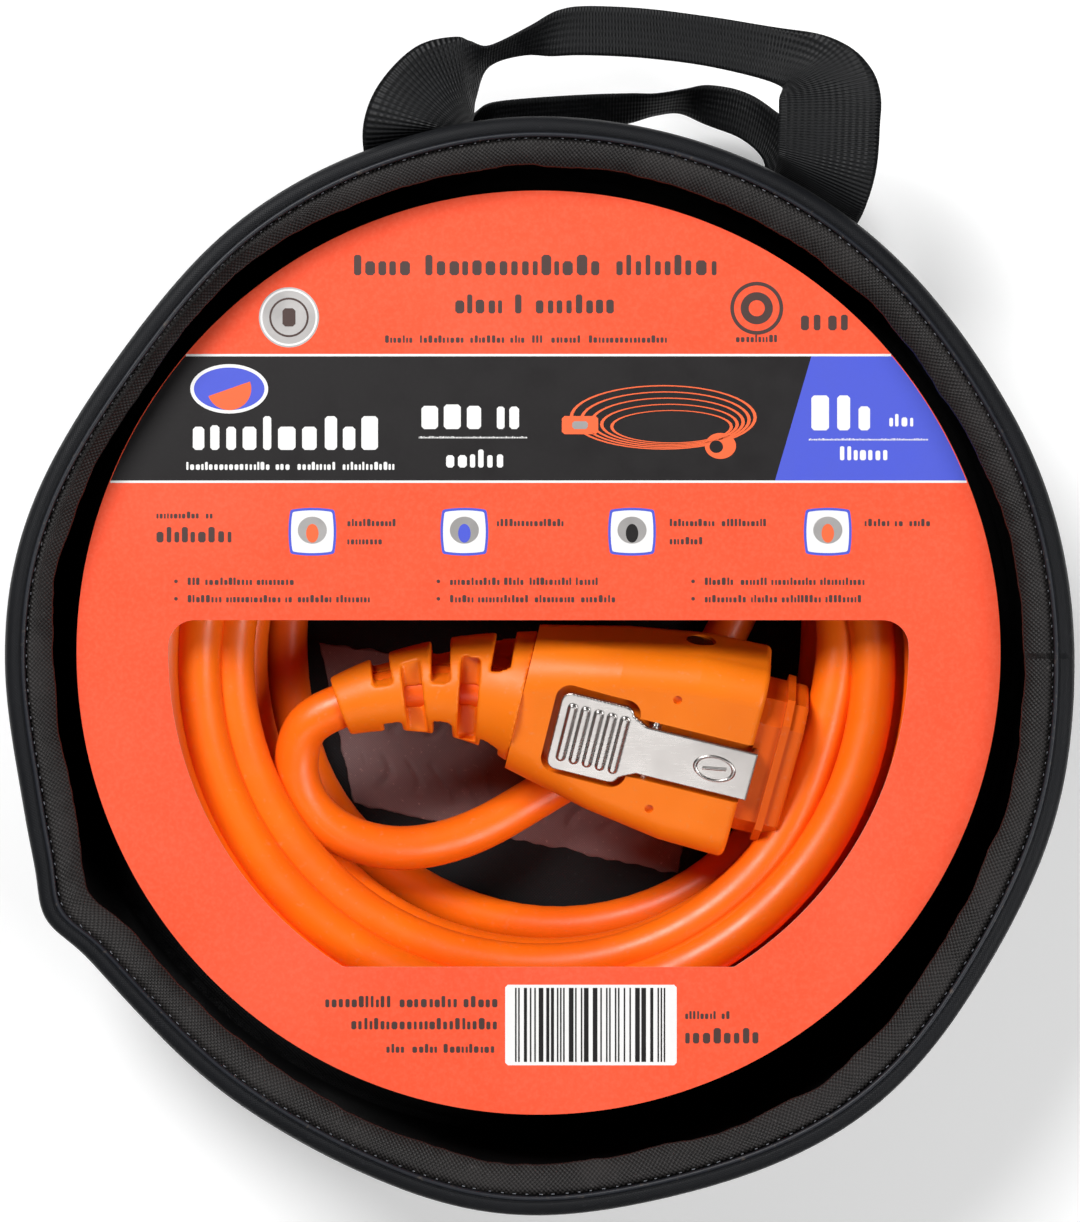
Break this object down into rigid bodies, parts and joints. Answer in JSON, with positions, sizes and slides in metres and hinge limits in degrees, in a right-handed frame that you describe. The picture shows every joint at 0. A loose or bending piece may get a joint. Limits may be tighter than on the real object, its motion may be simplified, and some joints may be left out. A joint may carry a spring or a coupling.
{
  "type": "shore power cord",
  "caption": "Coiled orange shore power cord with latching connector and plug, in a round open fabric bag with webbing handles and a windowed display card",
  "frame": {"origin": "middle of the underside of the bag, which lies on its back", "axes": "+Z points out of the bag mouth; +Y is the side of the handles, which are turned 9 degrees towards +X; +X is to the right when looking down into the mouth"},
  "size_m": [0.4049, 0.4538, 0.11],
  "materials": {
    "bag_cloth": "coated woven black cloth",
    "piping": "charcoal twill binding",
    "hoop_steel": "spring steel wire",
    "seam_tape": "coarse grey-black seam tape",
    "backing": "pinkish grey embroidery backing",
    "webbing": "ribbed black webbing",
    "card_board": "matte printed orange-red board",
    "cable_jacket": "satin orange jacket",
    "housing_orange": "satin yellow-orange moulding",
    "nose_orange": "darker orange moulding",
    "brass": "tinned contact brass",
    "steel": "plain steel",
    "stainless": "pressed stainless steel",
    "black_rubber": "moulded seal rubber",
    "lens": "dark translucent lens",
    "conductor": "insulated conductors"
  },
  "bodies": {
    "bag": {"bag_floor": "bag_cloth", "bag_wall": "bag_cloth", "floor_piping": "piping", "rim_piping": "piping", "rim_hoop": "hoop_steel", "rim_tape": "seam_tape", "embroidery_backing": "backing", "front_handle_tabs": "webbing", "rear_handle_tabs": "webbing"},
    "front_handle": {"front_handle": "webbing"},
    "rear_handle": {"rear_handle": "webbing"},
    "card": {"display_card": "card_board"},
    "cordset": {"cable_coil": "cable_jacket", "cable_to_connector": "cable_jacket", "cable_to_plug": "cable_jacket", "cable_in_connector": "cable_jacket", "cable_in_plug": "cable_jacket", "connector_shell": "housing_orange", "connector_nose": "nose_orange", "connector_boot": "housing_orange", "connector_contacts": "brass", "contact_screws": "steel", "nose_gasket": "black_rubber", "indicator_lens": "lens", "connector_cord_clamp": "nose_orange", "connector_clamp_screws": "steel", "connector_conductors": "conductor", "upper_lever_pin": "steel", "upper_lever_spring": "steel", "lower_lever_pin": "steel", "lower_lever_spring": "steel", "plug_gland_nut": "housing_orange", "plug_gland_seal": "black_rubber", "plug_shell": "housing_orange", "plug_carrier": "nose_orange", "plug_blades": "brass", "plug_terminal_screws": "steel", "plug_face_seal": "black_rubber", "plug_cord_clamp": "nose_orange", "plug_conductors": "conductor"},
    "upper_lever": {"upper_lever": "stainless"},
    "lower_lever": {"lower_lever": "stainless"},
    "plug_ring": {"plug_locking_ring": "housing_orange"}
  },
  "joints": [
    {"name": "cordset_lift", "type": "slide", "parent": "bag", "child": "cordset", "axis": [0, 0, 1], "range_m": [0, 0.2]},
    {"name": "card_lift", "type": "slide", "parent": "cordset", "child": "card", "axis": [0, 0, 1], "range_m": [0, 0.12]},
    {"name": "front_handle_swing", "type": "hinge", "parent": "bag", "child": "front_handle", "pos_m": [0.03222, 0.20346, 0.09], "axis": [0.9877, -0.1564, 0], "range_deg": [0, 90]},
    {"name": "rear_handle_swing", "type": "hinge", "parent": "bag", "child": "rear_handle", "pos_m": [0.03222, 0.20346, 0.03], "axis": [0.9877, -0.1564, 0], "range_deg": [0, 90]},
    {"name": "upper_lever_press", "type": "hinge", "parent": "cordset", "child": "upper_lever", "pos_m": [0.04337, -0.03735, 0.07511], "axis": [-0.2241, -0.9126, -0.342], "range_deg": [0, 6], "stiffness_Nm_per_rad": 0.6, "springref_deg": -2.86},
    {"name": "lower_lever_press", "type": "hinge", "parent": "cordset", "child": "lower_lever", "pos_m": [0.04686, -0.02314, 0.03489], "axis": [0.2241, 0.9126, 0.342], "range_deg": [0, 6], "stiffness_Nm_per_rad": 0.6, "springref_deg": -2.86},
    {"name": "plug_ring_turn", "type": "hinge", "parent": "cordset", "child": "plug_ring", "pos_m": [0, 0.054, 0.032], "axis": [-1, 0, 0], "range_deg": [0, 90]}
  ]
}
